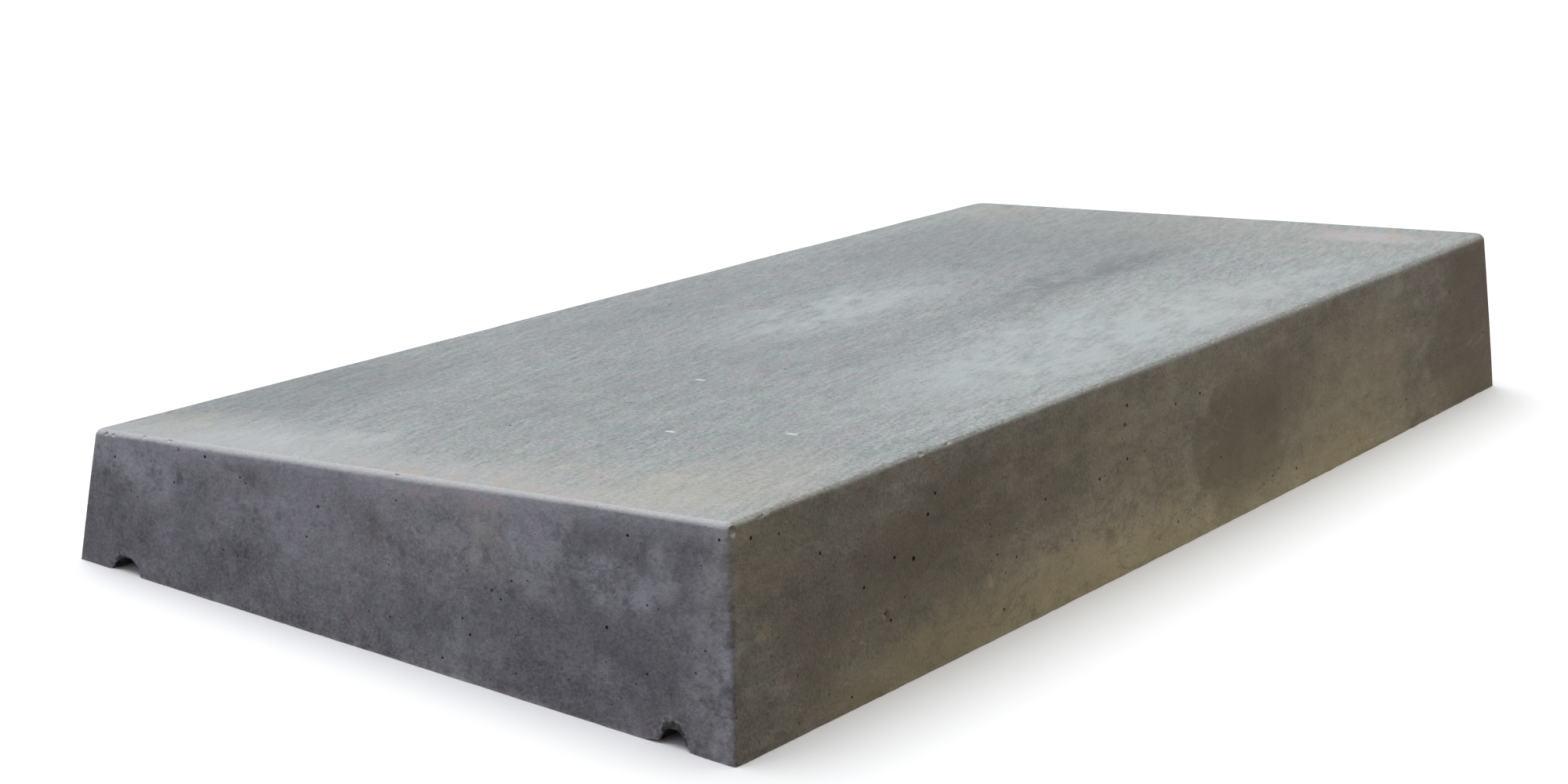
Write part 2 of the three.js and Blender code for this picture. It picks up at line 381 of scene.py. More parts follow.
CAST_STAINS = (
    ((-128, -302, 41), (16, 12, 7), BLOOM_AND_HIGHLIGHT, 0.85, 0.5),  # lime bloom near the thin side
    ((-112, -302, 36), (12, 12, 7), BLOOM_AND_HIGHLIGHT, 0.34, 0.6),
    ((-90, -302, 24), (24, 12, 10), BLOOM_AND_HIGHLIGHT, 0.12, 0.6),
    ((-58, -302, 40), (22, 12, 12), BLOOM_AND_HIGHLIGHT, 0.20, 0.6),
    ((66, -302, 50), (14, 12, 17), BLOOM_AND_HIGHLIGHT, 0.30, 0.3),
    ((90, -302, 49), (9, 12, 6), BLOOM_AND_HIGHLIGHT, 0.66, 0.6),
    ((103, -302, 44), (11, 12, 7), BLOOM_AND_HIGHLIGHT, 0.62, 0.6),
    ((117, -302, 53), (6, 12, 9), BLOOM_AND_HIGHLIGHT, 0.50, 0.6),
    ((137, -302, 42), (10, 12, 34), BLOOM_AND_HIGHLIGHT, 0.42, 0.5),
    ((143, -304, 36), (3.5, 8, 60), BLOOM_AND_HIGHLIGHT, 0.55, 0.5),  # a pale strip up the near corner
    ((34, -304, 9), (30, 12, 8), BLOOM_AND_HIGHLIGHT, 0.14, 0.6),
    ((26, -302, 30), (12, 12, 8), BLOOM_AND_HIGHLIGHT, 0.16, 0.6),
    ((-100, -302, 41), (1.8, 12, 4), SHADE, 0.60, 0.5),
    ((-94, -302, 30), (7, 12, 14), SHADE, 0.26, 0.6),
    ((-72, -302, 51), (6, 12, 1.7), SHADE, 0.80, 0.5),
    ((-64, -302, 49), (5, 12, 4), SHADE, 0.90, 0.5),
    ((-64, -302, 50), (13, 12, 7), UMBER, 0.32, 0.6),
    ((-55, -302, 52), (5, 12, 1.3), SHADE, 0.75, 0.5),
    ((10, -302, 18), (22, 12, 10), SHADE, 0.20, 0.6),
    ((94, -302, 64), (4, 12, 4), SHADE, 0.50, 0.5),
    ((108, -302, 58), (2, 12, 9), SHADE, 0.50, 0.5),
    ((129, -302, 62), (1.2, 12, 5), SHADE, 0.60, 0.5),
    ((-7, -302, 42), (15, 12, 8), UMBER, 0.26, 0.6),
    ((-6, -302, 44), (2.2, 12, 4), UMBER, 0.40, 0.6),
    ((1, -302, 40), (6, 12, 1.2), UMBER, 0.34, 0.6),
    ((8, -302, 37), (1.3, 12, 2.5), UMBER, 0.45, 0.6),
    ((42, -302, 56), (9, 12, 6), STRAW, 0.26, 0.6),
    ((44, -302, 45), (10, 12, 8), STRAW, 0.22, 0.6),
    ((38, -303, 63), (14, 12, 1.8), ROSE, 0.60, 0.6),  # warm just under the arris
    ((0, -303, 59), (26, 12, 1.5), ROSE, 0.50, 0.6),
    ((145, -86, 55), (12, 26, 7), STRAW, 0.14, 0.5),
    ((142, -293, 62), (12, 8, 16), STRAW, 0.26, 0.5),
    ((146, -287, 37), (12, 3, 2.2), STRAW, 0.40, 0.5),
    ((148, -158, 21), (6, 2.4, 1.6), STRAW, 0.60, 0.3),
    ((147, 30, 32), (12, 34, 24), UMBER, 0.30, 0.3),
    ((147, -215, 36), (12, 34, 15), UMBER, 0.24, 0.5),
    ((146, -262, 26), (12, 16, 18), UMBER, 0.30, 0.6),
    ((149, -75, 16), (6, 5, 4), UMBER, 0.40, 0.4),
)
TOP_CLOUDS = (
    ((-62, -110, 58), (92, 190, 40), SHADE, 0.13, 0.5),  # darker over the middle and the thin side
    ((-124, -218, 52), (36, 66, 30), SHADE, 0.27, 0.6),
    ((92, -205, 70), (34, 34, 30), SHADE, 0.10, 0.6),
    ((-36, 190, 60), (84, 86, 40), SHADE, 0.27, 0.6),
    ((30, 50, 65), (10, 120, 30), SHADE, 0.17, 0.6),  # a dark streak between the bleached clouds
    ((-36, 0, 60), (26, 66, 30), CHALK_AND_SHEEN, 0.12, 0.6),
    # These two clouds by the thick side: partly bleaching, partly a painted sheen.
    ((92, -10, 70), (34, 115, 30), CHALK_AND_SHEEN, 0.22, 0.5),
    ((114, 100, 72), (20, 95, 30), CHALK_AND_SHEEN, 0.18, 0.6),
    ((0, -305, 60), (170, 26, 50), RUBBED_AND_HIGHLIGHT, 0.36, 0.5),  # paler along the near end: partly bleached, partly a painted light gradient
    ((-80, -284, 56), (46, 26, 30), RUBBED_AND_HIGHLIGHT, 0.38, 0.6),
    ((-112, 268, 53), (26, 22, 30), STRAW, 0.16, 0.6),
    ((112, -262, 72), (30, 40, 30), STRAW, 0.28, 0.6),
    ((94, 270, 71), (26, 16, 30), RUBBED_AND_HIGHLIGHT, 0.55, 0.5),
    ((104, 78, 71), (30, 44, 30), STRAW, 0.12, 0.6),
    ((40, 262, 66), (110, 44, 40), STRAW, 0.14, 0.6),
)
TOP_STAINS = (
    ((-100, 40, 53), (34, 150, 30), SHADE, 0.20, 0.6),
    ((30, -150, 66), (60, 110, 40), SHADE, 0.22, 0.6),
    ((20, 108, 65), (15, 80, 30), SHADE, 0.42, 0.6),
    ((-34, 6, 60), (26, 64, 30), CHALK_AND_SHEEN, 0.62, 0.6),
    ((92, -15, 70), (36, 110, 30), CHALK_AND_SHEEN, 0.64, 0.5),
    ((114, 100, 72), (20, 90, 30), CHALK_AND_SHEEN, 0.45, 0.5),
    ((-73, -279, 56), (13, 9, 30), RUBBED_AND_HIGHLIGHT, 0.45, 0.6),
    ((-45, -266, 58), (15, 10, 30), RUBBED_AND_HIGHLIGHT, 0.36, 0.6),
    ((34, -296, 66), (44, 7, 30), ROSE, 0.60, 0.6),
    ((-122, -279, 52), (16, 16, 30), STRAW, 0.30, 0.6),
    ((70, -276, 69), (60, 18, 30), STRAW, 0.26, 0.6),
    ((94, 270, 71), (20, 13, 30), ROSE, 0.95, 0.5),
)
WHITE_GRAINS = ((4, -137, 63), (48, -211, 67), (88, -195, 70))  # three bright grains on the top
GRAIN_SIZE = (2.4, 0.9, 3)


def stain_and_light(nodes, colour, place, stains, break_up):
    """Lays the stains and the patches of painted light over colour, those of one tone together. break_up
    makes them thin in places.
    """
    for tone in dict.fromkeys(row[2] for row in stains):
        bare = 1.0
        for centre, size, _, strength, soft in (row for row in stains if row[2] == tone):
            spot = nodes.patch(place, Vector(centre) * MM, Vector(size) * MM, soft, 1 - strength, 1)
            bare = nodes.times(spot, bare)
        cover = nodes.times(nodes.plus(1, nodes.times(bare, -1)), break_up)
        colour = nodes.mix(cover, colour, tone)
    return colour


def tinted(nodes, light, size, shift):
    """Turns a brightness into a colour that wanders between pink and green."""
    tint = nodes.noise(size, shift, 2, detail=6, roughness=0.7)
    colour = nodes.mix(nodes.band(tint, 0.38, 0.62), grey(1, PINK), grey(1, GREEN))
    return nodes.mix(1.0, colour, light, "MULTIPLY")


def cast_face_colour(nodes, grain, place, far_place):
    """The faces that lay against the mould: dark, cloudy, flecked and stained, with painted warm light low
    on the thick side and painted shade in pinholes.
    """
    clouds = nodes.noise(0.10, along=1.6, detail=9, roughness=0.66)
    patches = nodes.noise(0.024, (3, 1, 2), 2.2, detail=9, roughness=0.74, distortion=0.15)
    flecks = nodes.noise(0.0055, (5, 2, 6), 1.8, detail=5, roughness=0.72)
    streaks = nodes.noise(0.010, (6, 1, 3), 8, detail=6, roughness=0.68)
    change = nodes.plus(
        1.0,
        nodes.swing(clouds, 0.6),
        nodes.swing(patches, 1.5),
        nodes.swing(flecks, 1.2),
        nodes.swing(streaks, 0.6),
        nodes.swing(grain, 1.5),
    )
    colour = tinted(nodes, nodes.times(change, CAST_FACE), 0.007, (7, 4, 9))
    colour = stain_and_light(nodes, colour, far_place, CAST_CLOUDS, 1.0)
    patchy = nodes.band(patches, 0.42, 0.58, 0, 0.6)
    flecked = nodes.band(flecks, 0.40, 0.60, 0, 0.6)
    break_up = nodes.plus(0.1, patchy, flecked)
    colour = stain_and_light(nodes, colour, place, CAST_STAINS, break_up)
    dark_lines = nodes.noise(0.022, (9, 9, 1), 2.0, detail=8, roughness=0.66, distortion=0.5)
    dark_lines = nodes.times(nodes.wisps(dark_lines, 0.022), nodes.band(clouds, 0.50, 0.60), 0.45)
    pale_lines = nodes.noise(0.015, (2, 7, 5), 2.0, detail=8, roughness=0.66, distortion=0.5)
    pale_lines = nodes.times(nodes.wisps(pale_lines, 0.025), nodes.band(patches, 0.50, 0.60), 0.34)
    colour = nodes.mix(pale_lines, nodes.mix(dark_lines, colour, SHADE), BLOOM_AND_HIGHLIGHT)
    dark_flecks = nodes.band(nodes.noise(0.0035, (1, 9, 2), 1.8, detail=3), 0.60, 0.70)
    colour = nodes.mix(nodes.times(dark_flecks, 0.30), colour, SHADE)
    # Pinholes as small dark dots, with no hole in the mesh: painted shade inside them.
    pinholes = nodes.specks(0.009, 0.00042, 0.6, (3, 8, 4))
    return nodes.mix(nodes.times(pinholes, 0.8), colour, RECESS_SHADE)


def trowelled_colour(nodes, grain, streaks, place, far_place):
    """The top: lighter, with streaks along the length, bleached clouds that are partly a painted sheen by
    the thick side, painted light along the near end, and bright grains.
    """
    sweeps = nodes.noise(0.024, (2, 5, 0), 5, -0.08, detail=8, roughness=0.66)
    mottle = nodes.noise(0.012, (4, 4, 4), 2, STREAK_TURN, detail=6, roughness=0.70)
    change = nodes.plus(
        1.0,
        nodes.swing(sweeps, 0.45),
        nodes.swing(streaks, 1.2),
        nodes.swing(mottle, 0.28),
        nodes.swing(grain, 1.6),
    )
    change = nodes.mix(1.0, grey(TROWELLED, TOP_TINT), change, "MULTIPLY")
    colour = tinted(nodes, change, 0.010, (1, 8, 3))
    colour = stain_and_light(nodes, colour, far_place, TOP_CLOUDS, 1.0)
    break_up = nodes.plus(nodes.band(mottle, 0.42, 0.58, 0.1, 1.0), nodes.swing(streaks, 1.4))
    colour = stain_and_light(nodes, colour, place, TOP_STAINS, break_up)
    for centre in WHITE_GRAINS:
        chip = nodes.patch(nodes.place(), Vector(centre) * MM, Vector(GRAIN_SIZE) * MM, 0.3)
        colour = nodes.mix(chip, colour, grey(0.60, (1, 1, 0.94)))
    return colour


def above_top(nodes):
    """How far a place is above the plane of the top, in metres."""
    place = nodes.position()
    slope = (top_height(100) - top_height(0)) / 100
    return nodes.plus(place["Z"], nodes.times(place["X"], -slope), -top_height(0) * MM)


def rubbed_and_highlit_arris(nodes, facing, streaks, on_top):
    """A mask of the arris at the top of the near end, made pale: partly rubbed by handling, partly a
    painted highlight where the arris catches the light.
    """
    on_arris = nodes.times(nodes.band(facing["Z"], 0.08, 0.45), nodes.band(facing["Z"], 0.998, 0.975))
    nearward = nodes.band(facing["Y"], -0.05, -0.3)
    return nodes.times(on_arris, nearward, nodes.band(streaks, 0.3, 0.7, 0.9, 0.45), on_top)


def groove_mouths(nodes, colour, place, grain):
    """Paints shade into the groove mouths, and a pale painted highlight on the broken rims round them."""
    for x, (half_width, rise) in zip(GROOVES_X, MOUTHS):
        for y in (-END_Y, END_Y):
            centre = Vector((x, y, 0)) * MM
            rim_size = Vector((half_width + 2.6, 9, rise + 2.6)) * MM
            mouth_size = Vector((half_width + 1.2, 12, rise + 1.2)) * MM
            rim = nodes.patch(place, centre, rim_size, 0.10)
            mouth = nodes.patch(place, centre, mouth_size, 0.10)
            # Painted highlight: the broken rims round the mouth lit pale.
            colour = nodes.mix(nodes.times(rim, nodes.band(grain, 0.4, 0.6), 0.45), colour, BLOOM_AND_HIGHLIGHT)
            # Painted shade: the groove mouth dark inside.
            colour = nodes.mix(nodes.times(mouth, nodes.band(grain, 0.3, 0.7, 0.95, 0.55)), colour, RECESS_SHADE)
    return colour


def concrete_material():
    """The casting's surface: its cast sides, trowelled top and plain underside, with their wear, painted
    highlights on the near top arris and the groove rims, and painted shade in the groove mouths and
    pinholes.
    """
    material = bpy.data.materials.new("weathered concrete")
    nodes = Nodes(material)
    facing = nodes.facing()
    upward = facing["Z"]
    place = nodes.ragged_place(0.016, 0.008)
    far_place = nodes.ragged_place(0.055, 0.022)
    above = above_top(nodes)
    on_top = nodes.band(above, -0.007, -0.004)
    # A paler band on the near end just under the top: partly wear, partly painted light that falls off
    # down from the rounded arris.
    wear_and_arris_light = nodes.times(nodes.band(above, -0.012, -0.002), nodes.band(facing["Y"], -0.2, -0.7))
    grain = nodes.noise(0.0013, detail=2, roughness=0.7)
    streaks = nodes.noise(0.0025, along=6, turn=STREAK_TURN, detail=5, roughness=0.72)
    cast = cast_face_colour(nodes, grain, place, far_place)
    top = trowelled_colour(nodes, grain, streaks, place, far_place)
    colour = nodes.mix(nodes.times(nodes.band(upward, 0.30, 0.75), on_top), cast, top)
    colour = nodes.mix(nodes.band(upward, -0.9, -0.5, 0.5, 0), colour, grey(UNDERSIDE))
    # Partly wear, partly painted light, under the near top arris.
    colour = nodes.mix(nodes.times(wear_and_arris_light, nodes.band(streaks, 0.3, 0.7, 0.62, 0.24)), colour, BLOOM_AND_HIGHLIGHT)
    # Partly rubbed wear, partly a painted highlight along the near top arris.
    colour = nodes.mix(rubbed_and_highlit_arris(nodes, facing, streaks, on_top), colour, RUBBED_AND_HIGHLIGHT)
    light_specks = nodes.specks(0.007, 0.00035, 0.4)
    # Dark specks, also dented by the bump below: tiny pits, their darkness painted shade.
    dark_specks = nodes.specks(0.005, 0.0003, 0.5, (2, 2, 2))
    colour = nodes.mix(nodes.times(light_specks, 0.30), colour, grey(0.5))
    colour = nodes.mix(nodes.times(dark_specks, 0.6), colour, grey(0.05))
    colour = groove_mouths(nodes, colour, place, grain)
    roughness = nodes.plus(nodes.band(grain, 0.2, 0.8, 0.42, 0.62), nodes.band(upward, 0.5, 0.9, 0.05, 0))
    combed = nodes.times(streaks, nodes.band(upward, 0.8, 0.95), 0.8)
    height = nodes.plus(grain, nodes.times(dark_specks, -1.2), combed)
    nodes.surface(colour, roughness, nodes.bump(height, 0.0004, 0.6))
    return material


def broken_material(name, dark, light):
    """Concrete with its skin gone, for the faces that the cutters leave: in a nick, and inside an air
    hole, where the dark colours are painted shade.
    """
    material = bpy.data.materials.new(name)
    nodes = Nodes(material)
    grain = nodes.noise(0.0009, detail=3)
    colour = nodes.mix(grain, dark, light)
    nodes.surface(colour, 0.95, nodes.bump(grain, 0.0002), specular=0.2)
    return material


def bar_material():
    """Round bar with a thin bloom of rust over mill scale."""
    material = bpy.data.materials.new("rusted bar steel")
    nodes = Nodes(material)
    bloom = nodes.noise(0.006, detail=6, roughness=0.7, distortion=0.6)
    pits = nodes.noise(0.0011, detail=3, roughness=0.7)
    rust = nodes.mix(pits, (0.20, 0.075, 0.03, 1), (0.34, 0.15, 0.06, 1))
    cover = nodes.band(bloom, 0.42, 0.58)
    colour = nodes.mix(cover, (0.13, 0.12, 0.125, 1), rust)
    metal = nodes.band(cover, 0, 1, 0.85, 0.05)
    roughness = nodes.band(cover, 0, 1, 0.42, 0.85)
    nodes.surface(colour, roughness, nodes.bump(pits, 0.00015), metal)
    return material


def binding_wire_material():
    """Soft black annealed wire."""
    material = bpy.data.materials.new("black annealed wire")
    nodes = Nodes(material)
    scale = nodes.noise(0.002, detail=5, roughness=0.65)
    colour = nodes.mix(scale, (0.028, 0.028, 0.032, 1), (0.10, 0.092, 0.088, 1))
    roughness = nodes.band(scale, 0.3, 0.7, 0.45, 0.7)
    nodes.surface(colour, roughness, nodes.bump(scale, 0.00005), 0.8)
    return material


def hanger_wire_material():
    """Galvanised wire with a fine spangle and a dull white bloom."""
    material = bpy.data.materials.new("galvanised wire")
    nodes = Nodes(material)
    spangle = nodes.cells(0.0024).outputs["Color"]
    bloom = nodes.noise(0.004, detail=5, roughness=0.6)
    zinc = nodes.mix(spangle, (0.42, 0.44, 0.46, 1), (0.58, 0.60, 0.62, 1))
    colour = nodes.mix(nodes.band(bloom, 0.45, 0.7), zinc, (0.72, 0.73, 0.73, 1))
    roughness = nodes.band(bloom, 0.35, 0.7, 0.32, 0.62)
    nodes.surface(colour, roughness, nodes.bump(bloom, 0.00004), 0.85)
    return material


# ---------------------------------------------------------------- the casting's mesh


def top_height(x):
    """The sloping top plane, through the sharp arrises of both long sides."""
    thin_arris = THIN_SIDE_X + LONG_SIDE_DRAFT * THIN_EDGE
    thick_arris = THICK_SIDE_X - LONG_SIDE_DRAFT * THICK_EDGE
    return THIN_EDGE + (THICK_EDGE - THIN_EDGE) * (x - thin_arris) / (thick_arris - thin_arris)


def smooth_step(value):
    value = np.clip(value, 0, 1)
    return value * value * (3 - 2 * value)


def stretch(start, end, spacing):
    """Evenly spaced places from start up to, and without, end."""
    count = max(1, round(abs(end - start) / spacing))
    return list(np.linspace(start, end, count, endpoint=False))


def groove_lines(centre):
    """Grid lines over a groove, even round its arc, with close ones just outside it."""
    margins = (3.4, 2.4, 1.6, 0.9, 0.4)
    arc = [-math.cos(math.pi * step / GROOVE_STEPS) for step in range(GROOVE_STEPS + 1)]
    left = [centre - GROOVE_RADIUS - margin for margin in margins]
    right = [centre + GROOVE_RADIUS + margin for margin in reversed(margins)]
    return left + [centre + GROOVE_RADIUS * place for place in arc] + right


def across_lines():
    first, second = (groove_lines(centre) for centre in GROOVES_X)
    lines = stretch(THIN_SIDE_X, THIN_SIDE_X + 2, 0.5)
    lines += stretch(THIN_SIDE_X + 2, first[0], 1.6)
    lines += first[:-1]
    lines += stretch(first[-1], second[0], 4.2)
    lines += second[:-1]
    lines += stretch(second[-1], THICK_SIDE_X - 2, 1.6)
    lines += stretch(THICK_SIDE_X - 2, THICK_SIDE_X, 0.5)
    return np.array(lines + [THICK_SIDE_X])


def along_lines():
    """Grid lines along the length, close together near the ends."""
    half = stretch(END_Y, END_Y - 2, 0.5) + stretch(END_Y - 2, END_Y - 10, 1.0)
    middle = stretch(-END_Y + 10, END_Y - 10, 3.6)
    return np.array([-place for place in half] + middle + list(reversed(half + [END_Y - 10])))


def corner_blend(values, x, y):
    """Blends one value for each plan corner, in the order of ARRIS_RADII, over the plan."""
    across = np.clip((x - THIN_SIDE_X) / END_WIDTH, 0, 1)
    along = np.clip((y + END_Y) / LENGTH, 0, 1)
    near = values[0] * (1 - across) + values[1] * across
    far = values[2] * (1 - across) + values[3] * across
    return near * (1 - along) + far * along


def lattice(cells):
    """A repeatable number from -1 to 1 for each place with whole-numbered coordinates."""
    key = (cells[:, 0] * 73856093) ^ (cells[:, 1] * 19349663) ^ (cells[:, 2] * 83492791)
    key = ((key ^ (key >> 13)) * 1274126177) & 0xFFFFFFFF
    return ((key ^ (key >> 16)) & 0xFFFF) / 32767.5 - 1


def smooth_noise(places):
    """Numbers from -1 to 1 that change smoothly from place to place, over about one unit."""
    cells = np.floor(places).astype(np.int64)
    share = smooth_step(places - cells)
    total = np.zeros(len(places))
    for corner in np.ndindex(2, 2, 2):
        weight = np.prod(np.where(corner, share, 1 - share), axis=1)
        total += weight * lattice(cells + corner)
    return total


def sample_noise(points, size, shift=0, octaves=3):
    """Smooth noise from about -1 to 1 at each point. size is its coarsest feature in millimetres, and
    another shift gives another pattern."""
    places = np.asarray(points, float) / size + (37.3 * shift, 11.7 * shift, 5.9 * shift)
    total = np.zeros(len(places))
    for octave in range(octaves):
        total += smooth_noise(places * 2.03**octave) / 2**octave
    return total / 1.4


class Casting:
    """The casting as a box of grids: the underside, rings up the sides and round the arris, and the
    top. Each vertex knows its place on the plan grid, how far it is up the side (rise, 0 to 1) and how
    far round the arris (turn, 0 to 1)."""

    def __init__(self):
        self.x_lines = across_lines()
        self.y_lines = along_lines()
        self.plan, self.rise, self.turn, self.faces = [], [], [], []
        self.lay_out()

    def lay_out(self):
        columns, rows = len(self.x_lines), len(self.y_lines)
        ring = [(i, 0) for i in range(columns - 1)]
        ring += [(columns - 1, j) for j in range(rows - 1)]
        ring += [(i, rows - 1) for i in range(columns - 1, 0, -1)]
        ring += [(0, j) for j in range(rows - 1, 0, -1)]
        sheet = [(i, j) for i in range(columns) for j in range(rows)]

        def add(places, rise, turn):
            first = len(self.plan)
            self.plan += [(self.x_lines[i], self.y_lines[j]) for i, j in places]
            self.rise += [rise] * len(places)
            self.turn += [turn] * len(places)
            return {place: first + index for index, place in enumerate(places)}

        wall = THIN_EDGE - ARRIS_RADII[0]
        heights = list(LEVEL_HEIGHTS) + stretch(LEVEL_HEIGHTS[-1], wall, LEVEL_SPACING)[1:] + [wall]
        underside = add(sheet, 0, 0)
        levels = [underside]
        levels += [add(ring, height / wall, 0) for height in heights[1:]]
        levels += [add(ring, 1, step / ARRIS_STEPS) for step in range(1, ARRIS_STEPS)]
        top = add(sheet, 1, 1)
        levels.append(top)
        around = list(zip(ring, ring[1:] + ring[:1]))
        for low, high in zip(levels, levels[1:]):
            self.faces += [(low[a], low[b], high[b], high[a]) for a, b in around]
        for i in range(columns - 1):
            for j in range(rows - 1):
                corners = [(i, j), (i + 1, j), (i + 1, j + 1), (i, j + 1)]
                self.faces.append([top[corner] for corner in corners])
                self.faces.append([underside[corner] for corner in reversed(corners)])

    def points(self):
        """Every vertex's place in millimetres."""
        plan = np.array(self.plan)
        rise = np.array(self.rise)
        turn = np.array(self.turn)
        x, y = plan[:, 0].copy(), plan[:, 1].copy()
        arris = corner_blend(ARRIS_RADII, plan[:, 0], plan[:, 1])
        arris *= 1 + 0.22 * sample_noise(np.column_stack([plan, 0 * rise]), 45, 3)
        angle = turn * math.pi / 2
        inward = np.where(turn > 0, arris * (1 - np.cos(angle)), 0)
        below = arris * (1 - np.sin(angle))
        base = underside_height(plan[:, 0], plan[:, 1])
        corner = corner_blend(TOP_CORNER_RADII, plan[:, 0], plan[:, 1])
        for _ in range(4):
            wear = THICK_ARRIS_WEAR * smooth_step((x - 60) / 70)
            z = base + rise * (top_height(x) - wear - below - base)
            climb = np.clip(z / top_height(x), 0, 1)
            radius = BASE_CORNER_RADIUS + (corner - BASE_CORNER_RADIUS) * climb**1.5
            radius = np.maximum(radius - inward, LEAST_CORNER_RADIUS)
            x, y = self.plan_place(plan, z, inward, radius)
        return np.column_stack([x, y, z])

    def plan_place(self, plan, z, inward, radius):
        """Moves the plan grid to its place at height z, inside the drafted sides and round corners."""
        bow = SIDE_BOW * (1 - (plan[:, 1] / END_Y) ** 2)
        low = np.column_stack([
            THIN_SIDE_X + LONG_SIDE_DRAFT * z + inward,
            -END_Y + END_DRAFT * z + inward,
        ])
        high = np.column_stack([
            THICK_SIDE_X + bow - LONG_SIDE_DRAFT * z - inward,
            END_Y - END_DRAFT * z - inward,
        ])
        share = np.column_stack([(plan[:, 0] - THIN_SIDE_X) / END_WIDTH, (plan[:, 1] + END_Y) / LENGTH])
        place = low + share * (high - low)
        depth = np.minimum(place - low, high - place).min(axis=1)
        radius = np.maximum(radius - depth, 0)[:, None]
        depth = depth[:, None]
        inner = np.clip(place, low + depth + radius, high - depth - radius)
        reach = place - inner
        length = np.linalg.norm(reach, axis=1)[:, None]
        place = np.where(length > radius, inner + reach * radius / np.maximum(length, 1e-9), place)
        return place[:, 0], place[:, 1]


def underside_height(x, y):
    """The underside: flat, with the two grooves, which slurry has narrowed at the ends and which are
    a little broken away there."""
    from_end = END_Y - np.abs(y)
    height = np.zeros_like(x)
    for index, (centre, (mouth_width, mouth_rise)) in enumerate(zip(GROOVES_X, MOUTHS)):
        rough = 0.5 + 0.5 * sample_noise(np.column_stack([x, y * 0.6, x * 0]), 3.2, 5 + index)
        mouth = smooth_step(1 - from_end / MOUTH_REACH)
        crumble = MOUTH_CRUMBLE * np.clip(rough, 0, 1.2)
        half_width = GROOVE_RADIUS + mouth * (mouth_width + crumble - GROOVE_RADIUS)
        rise = GROOVE_RADIUS + mouth * (mouth_rise + crumble - GROOVE_RADIUS)
        groove = rise * np.sqrt(np.maximum(1 - ((x - centre) / half_width) ** 2, 0))
        reach = np.abs(x - centre) - half_width
        long_chip = np.where(x < centre, 7.0, 5.0) * (1.0 if index else 0.2)
        deep_chip = np.where(x < centre, 0.9, 1.0)
        edge = np.clip(1.3 * (1 - reach / long_chip), 0, 1)
        chip = deep_chip * mouth * edge * np.clip(0.5 + rough, 0, 1.2)
        height = np.maximum(height, np.maximum(groove, chip))
    return height


def roughen(mesh):
    """Moves the surface inwards a little: slow waves on every face, ripples, and crumbled mouths."""
    points = np.empty(len(mesh.vertices) * 3)
    mesh.vertices.foreach_get("co", points)
    points = points.reshape(-1, 3)
    normals = np.empty(len(mesh.vertices) * 3)
    mesh.vertex_normals.foreach_get("vector", normals)
    normals = normals.reshape(-1, 3)
    wave = 0.5 + 0.5 * sample_noise(points, 85, 1, 2)
    ripple = 0.5 + 0.5 * sample_noise(points, 14, 6, 3)
    depth = FACE_WAVE * np.clip(wave, 0, 1) + FACE_RIPPLE * np.clip(ripple, 0, 1)
    trowelled = FACE_ROUGHNESS * np.clip(0.4 + sample_noise(points, 6, 8, 4), 0, 1)
    depth = np.where(normals[:, 2] < -0.5, trowelled, depth)
    moved = points - normals * np.maximum(depth, 0)[:, None]
    for centre, (half_width, rise) in zip(GROOVES_X, MOUTHS):
        from_arc = half_width * (np.hypot((points[:, 0] - centre) / half_width, points[:, 2] / rise) - 1)
        on_end = END_Y - np.abs(points[:, 1]) < 2
        broken = smooth_step(1 - from_arc / 2.2) * on_end * (from_arc > -1)
        broken *= np.maximum(0.9 + 0.8 * sample_noise(points, 2.0, 4, 3), 0)
        moved[:, 1] -= np.sign(points[:, 1]) * broken
    moved[:, 2] = np.maximum(moved[:, 2], 0)
    mesh.vertices.foreach_set("co", moved.ravel())
    mesh.update()


def new_object(name, mesh):
    piece = bpy.data.objects.new(name, mesh)
    bpy.context.scene.collection.objects.link(piece)
    return piece


def cut_away(piece, cutter):
    """Takes cutter's solid out of piece, and removes cutter."""
    modifier = piece.modifiers.new("cut", "BOOLEAN")
    modifier.operation = "DIFFERENCE"
    modifier.solver = "MANIFOLD"
    modifier.object = cutter
    bpy.context.view_layer.objects.active = piece
    bpy.ops.object.modifier_apply(modifier=modifier.name)
    bpy.data.objects.remove(cutter)


def cage_space(material):
    """A solid that fills the space of the cage, taken from the faces inside the CAD casting, with its
    openings at the underside carried down past it."""
    shell = bmesh.new()
    shell.from_mesh(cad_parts["concrete_casting"].data)
    bmesh.ops.remove_doubles(shell, verts=shell.verts, dist=1e-6)
    downward = [face for face in shell.faces if face.normal.z < -0.99]
    underside = [face for face in downward if face.calc_center_median().z < 1e-5]
    bmesh.ops.delete(shell, geom=underside, context="FACES")
    middle = Vector((0, 0, 24 * MM))
    seed = min(shell.verts, key=lambda vertex: (vertex.co - middle).length)
    inside, front = {seed}, [seed]
    while front:
        vertex = front.pop()
        for edge in vertex.link_edges:
            other = edge.other_vert(vertex)
            if other not in inside:
                inside.add(other)
                front.append(other)
    outside = [vertex for vertex in shell.verts if vertex not in inside]
    bmesh.ops.delete(shell, geom=outside, context="VERTS")
    rims = [edge for edge in shell.edges if edge.is_boundary]
    lowered = bmesh.ops.extrude_edge_only(shell, edges=rims)["geom"]
    for vertex in (item for item in lowered if isinstance(item, bmesh.types.BMVert)):
        vertex.co.z = -1 * MM
    bmesh.ops.holes_fill(shell, edges=[edge for edge in shell.edges if edge.is_boundary])
    bmesh.ops.recalc_face_normals(shell, faces=shell.faces)
    mesh = bpy.data.meshes.new("cage space")
    shell.to_mesh(mesh)
    shell.free()
    mesh.materials.clear()
    mesh.materials.append(material)
    return new_object("cage space", mesh)


